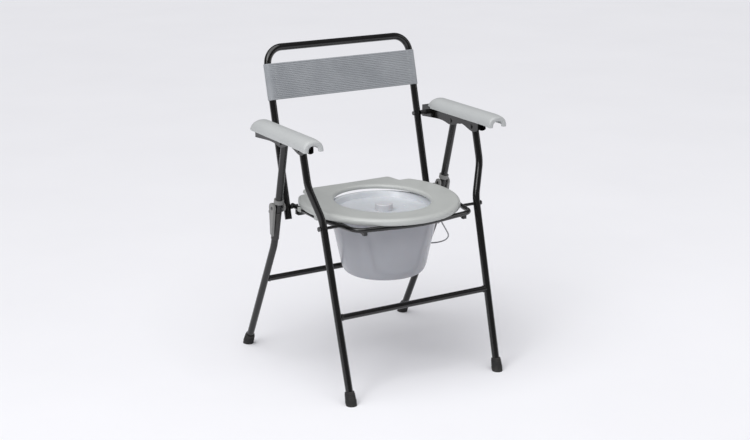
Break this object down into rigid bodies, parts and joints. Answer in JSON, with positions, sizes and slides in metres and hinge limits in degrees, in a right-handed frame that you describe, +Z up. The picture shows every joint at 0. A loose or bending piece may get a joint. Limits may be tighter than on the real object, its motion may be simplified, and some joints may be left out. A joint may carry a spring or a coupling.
{
  "type": "folding commode chair",
  "caption": "Folding commode chair with a tubular steel frame, ring seat, arm rests, a back strap and a lidded pail that slides out rearwards.",
  "frame": {"origin": "on the floor, at the centre of the bounding box", "axes": "+Z up, the chair faces -Y, +X is the sitter's left"},
  "size_m": [0.606, 0.5584, 0.8495],
  "materials": {
    "black_enamel": "gloss black enamel",
    "ferrule_rubber": "matt ribbed rubber",
    "black_plastic": "matt",
    "sleeve_plastic": "satin dark grey",
    "latch_plastic": "satin mid grey",
    "strap_vinyl": "ribbed grey vinyl",
    "pad_plastic": "satin light grey",
    "seat_plastic": "satin light grey",
    "pail_plastic": "semi-gloss light grey",
    "lid_plastic": "semi-gloss pale grey",
    "wire_steel": "drawn wire",
    "dark_steel": "black zinc"
  },
  "bodies": {
    "front_frame": {"front_leg_left": "black_enamel", "front_leg_right": "black_enamel", "front_crossbar": "black_enamel", "front_ferrule_left": "ferrule_rubber", "front_ferrule_right": "ferrule_rubber"},
    "seat_frame": {"seat_frame_tube": "black_enamel", "seat_frame_caps": "black_plastic", "seat_pivot_rods": "black_enamel", "seat_pivot_nuts": "dark_steel", "seat_rear_bolts": "dark_steel", "seat_rear_washers": "black_plastic", "catch_studs": "dark_steel", "seat_ring": "seat_plastic", "seat_clips": "seat_plastic", "pail_guides": "black_enamel", "guide_brackets": "black_enamel"},
    "back_frame": {"back_tube": "black_enamel", "back_tube_caps": "black_plastic", "back_strap": "strap_vinyl", "back_arm_bolts": "dark_steel", "arm_spacers": "black_plastic"},
    "arm_left": {"arm_channel_left": "black_enamel", "arm_pad_left": "pad_plastic", "arm_pins_left": "dark_steel", "arm_pad_screws_left": "dark_steel"},
    "arm_right": {"arm_channel_right": "black_enamel", "arm_pad_right": "pad_plastic", "arm_pins_right": "dark_steel", "arm_pad_screws_right": "dark_steel"},
    "rear_frame": {"rear_leg_left": "black_enamel", "rear_leg_right": "black_enamel", "rear_crossbar": "black_enamel", "rear_ferrule_left": "ferrule_rubber", "rear_ferrule_right": "ferrule_rubber", "latch_sleeve_left": "sleeve_plastic", "latch_sleeve_right": "sleeve_plastic", "latch_collar_left": "latch_plastic", "latch_collar_right": "latch_plastic"},
    "pail": {"pail": "pail_plastic", "bail_ears": "pail_plastic"},
    "lid": {"pail_lid": "lid_plastic", "lid_knob": "lid_plastic"},
    "bail": {"bail_handle": "wire_steel"},
    "latch_left": {"latch_lever_left": "latch_plastic", "latch_hook_left": "latch_plastic", "latch_shaft_left": "dark_steel"},
    "latch_right": {"latch_lever_right": "latch_plastic", "latch_hook_right": "latch_plastic", "latch_shaft_right": "dark_steel"}
  },
  "joints": [
    {"name": "seat_fold", "type": "hinge", "parent": "front_frame", "child": "seat_frame", "pos_m": [0, -0.1415, 0.4336], "axis": [1, 0, 0], "range_deg": [0, 60]},
    {"name": "arm_left_fold", "type": "hinge", "parent": "front_frame", "child": "arm_left", "pos_m": [0.2596, -0.0886, 0.63], "axis": [1, 0, 0], "range_deg": [0, 60]},
    {"name": "arm_right_fold", "type": "hinge", "parent": "front_frame", "child": "arm_right", "pos_m": [-0.2596, -0.0886, 0.63], "axis": [1, 0, 0], "range_deg": [0, 60]},
    {"name": "back_fold", "type": "hinge", "parent": "seat_frame", "child": "back_frame", "pos_m": [0, 0.0811, 0.4336], "axis": [1, 0, 0], "range_deg": [-60, 0]},
    {"name": "rear_leg_fold", "type": "hinge", "parent": "arm_left", "child": "rear_frame", "pos_m": [0.2596, 0.0093, 0.628], "axis": [1, 0, 0], "range_deg": [-90, 0]},
    {"name": "pail_slide", "type": "slide", "parent": "seat_frame", "child": "pail", "axis": [0, -1, 0], "range_m": [-0.25, 0]},
    {"name": "lid_lift", "type": "slide", "parent": "pail", "child": "lid", "axis": [0, 0, 1], "range_m": [0, 0.0045]},
    {"name": "bail_swing", "type": "hinge", "parent": "pail", "child": "bail", "pos_m": [0, -0.05, 0.41], "axis": [0.6428, -0.766, 0], "range_deg": [0, 12]},
    {"name": "latch_left_turn", "type": "hinge", "parent": "rear_frame", "child": "latch_left", "pos_m": [0.25694, 0.05803, 0.444], "axis": [1, 0, 0], "range_deg": [-40, 0]},
    {"name": "latch_right_turn", "type": "hinge", "parent": "rear_frame", "child": "latch_right", "pos_m": [-0.25694, 0.05803, 0.444], "axis": [1, 0, 0], "range_deg": [-40, 0]}
  ],
  "couplings": [
    {"joint": "arm_left_fold", "follows": "seat_fold", "ratio": 1},
    {"joint": "arm_right_fold", "follows": "seat_fold", "ratio": 1},
    {"joint": "back_fold", "follows": "seat_fold", "ratio": -1},
    {"joint": "rear_leg_fold", "follows": "seat_fold", "ratio": -1.5}
  ]
}
